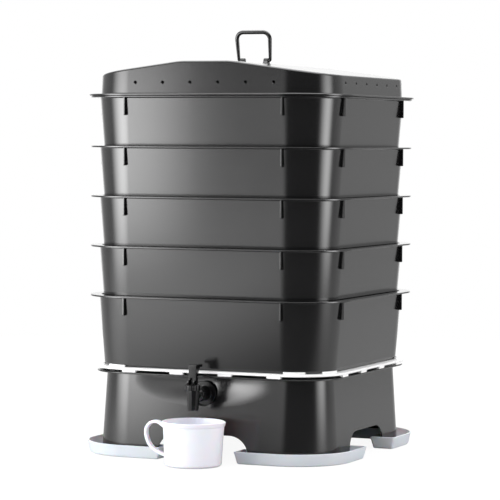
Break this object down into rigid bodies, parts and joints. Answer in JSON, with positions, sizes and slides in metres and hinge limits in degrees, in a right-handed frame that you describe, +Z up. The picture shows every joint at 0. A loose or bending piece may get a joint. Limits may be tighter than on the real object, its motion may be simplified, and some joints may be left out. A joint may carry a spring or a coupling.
{
  "type": "wormery",
  "caption": "Square stacking wormery: nested perforated trays under a vented gabled lid, on a strainer plate and an arched sump base with tap, moat dishes and cup.",
  "frame": {"origin": "on the ground under the middle of the bounding box; the stack's own axis is 41.7 mm behind it, because the tap and the cup stand out in front", "axes": "+Z up, the front with the tap and the cup faces -Y, the lid's ridge runs along Y"},
  "size_m": [0.414, 0.4974, 0.6276],
  "materials": {
    "black_plastic": "semi-gloss moulded polypropylene",
    "tap_plastic": "satin moulded plastic",
    "white_plastic": "satin moulded plastic",
    "frosted_plastic": "frosted translucent plastic",
    "cup_plastic": "smooth milky plastic",
    "bail_wire": "black coated steel wire",
    "seal_silicone": "matt silicone"
  },
  "bodies": {
    "dishes": {"dish_front_left": "frosted_plastic", "dish_front_right": "frosted_plastic", "dish_back_left": "frosted_plastic", "dish_back_right": "frosted_plastic"},
    "base": {"base": "black_plastic", "tap_body": "tap_plastic", "tap_bonnet": "tap_plastic", "tap_nut": "tap_plastic", "tap_outer_washer": "seal_silicone", "tap_inner_washer": "seal_silicone"},
    "plunger": {"tap_plunger": "seal_silicone", "tap_lever_pin": "tap_plastic"},
    "lever": {"tap_lever": "tap_plastic"},
    "strainer": {"strainer_plate": "white_plastic"},
    "tray_5": {"tray_5": "black_plastic"},
    "tray_4": {"tray_4": "black_plastic"},
    "tray_3": {"tray_3": "black_plastic"},
    "tray_2": {"tray_2": "black_plastic"},
    "tray_1": {"tray_1": "black_plastic"},
    "lid": {"lid": "black_plastic"},
    "handle": {"handle": "bail_wire"},
    "cup": {"cup": "cup_plastic"}
  },
  "joints": [
    {"name": "base_lift", "type": "slide", "parent": "dishes", "child": "base", "axis": [0, 0, 1], "range_m": [0, 0.06]},
    {"name": "plunger_lift", "type": "slide", "parent": "base", "child": "plunger", "axis": [0, 0, 1], "range_m": [0, 0.0031]},
    {"name": "lever_pull", "type": "hinge", "parent": "plunger", "child": "lever", "pos_m": [0, -0.1763, 0.1161], "axis": [1, 0, 0], "range_deg": [0, 30], "stiffness_Nm_per_rad": 0.15},
    {"name": "strainer_lift", "type": "slide", "parent": "base", "child": "strainer", "axis": [0, 0, 1], "range_m": [0, 0.06]},
    {"name": "tray_5_lift", "type": "slide", "parent": "strainer", "child": "tray_5", "axis": [0, 0, 1], "range_m": [0, 0.08]},
    {"name": "tray_4_lift", "type": "slide", "parent": "tray_5", "child": "tray_4", "axis": [0, 0, 1], "range_m": [0, 0.08]},
    {"name": "tray_3_lift", "type": "slide", "parent": "tray_4", "child": "tray_3", "axis": [0, 0, 1], "range_m": [0, 0.08]},
    {"name": "tray_2_lift", "type": "slide", "parent": "tray_3", "child": "tray_2", "axis": [0, 0, 1], "range_m": [0, 0.08]},
    {"name": "tray_1_lift", "type": "slide", "parent": "tray_2", "child": "tray_1", "axis": [0, 0, 1], "range_m": [0, 0.08]},
    {"name": "lid_lift", "type": "slide", "parent": "tray_1", "child": "lid", "axis": [0, 0, 1], "range_m": [0, 0.08]},
    {"name": "handle_swing", "type": "hinge", "parent": "lid", "child": "handle", "pos_m": [0, 0.0417, 0.5821], "axis": [1, 0, 0], "range_deg": [-97, 79]},
    {"name": "cup_slide", "type": "slide", "parent": "dishes", "child": "cup", "axis": [0, -1, 0], "range_m": [0, 0.15]}
  ],
  "couplings": [
    {"joint": "plunger_lift", "follows": "lever_pull", "m_per_rad": 0.00573}
  ]
}
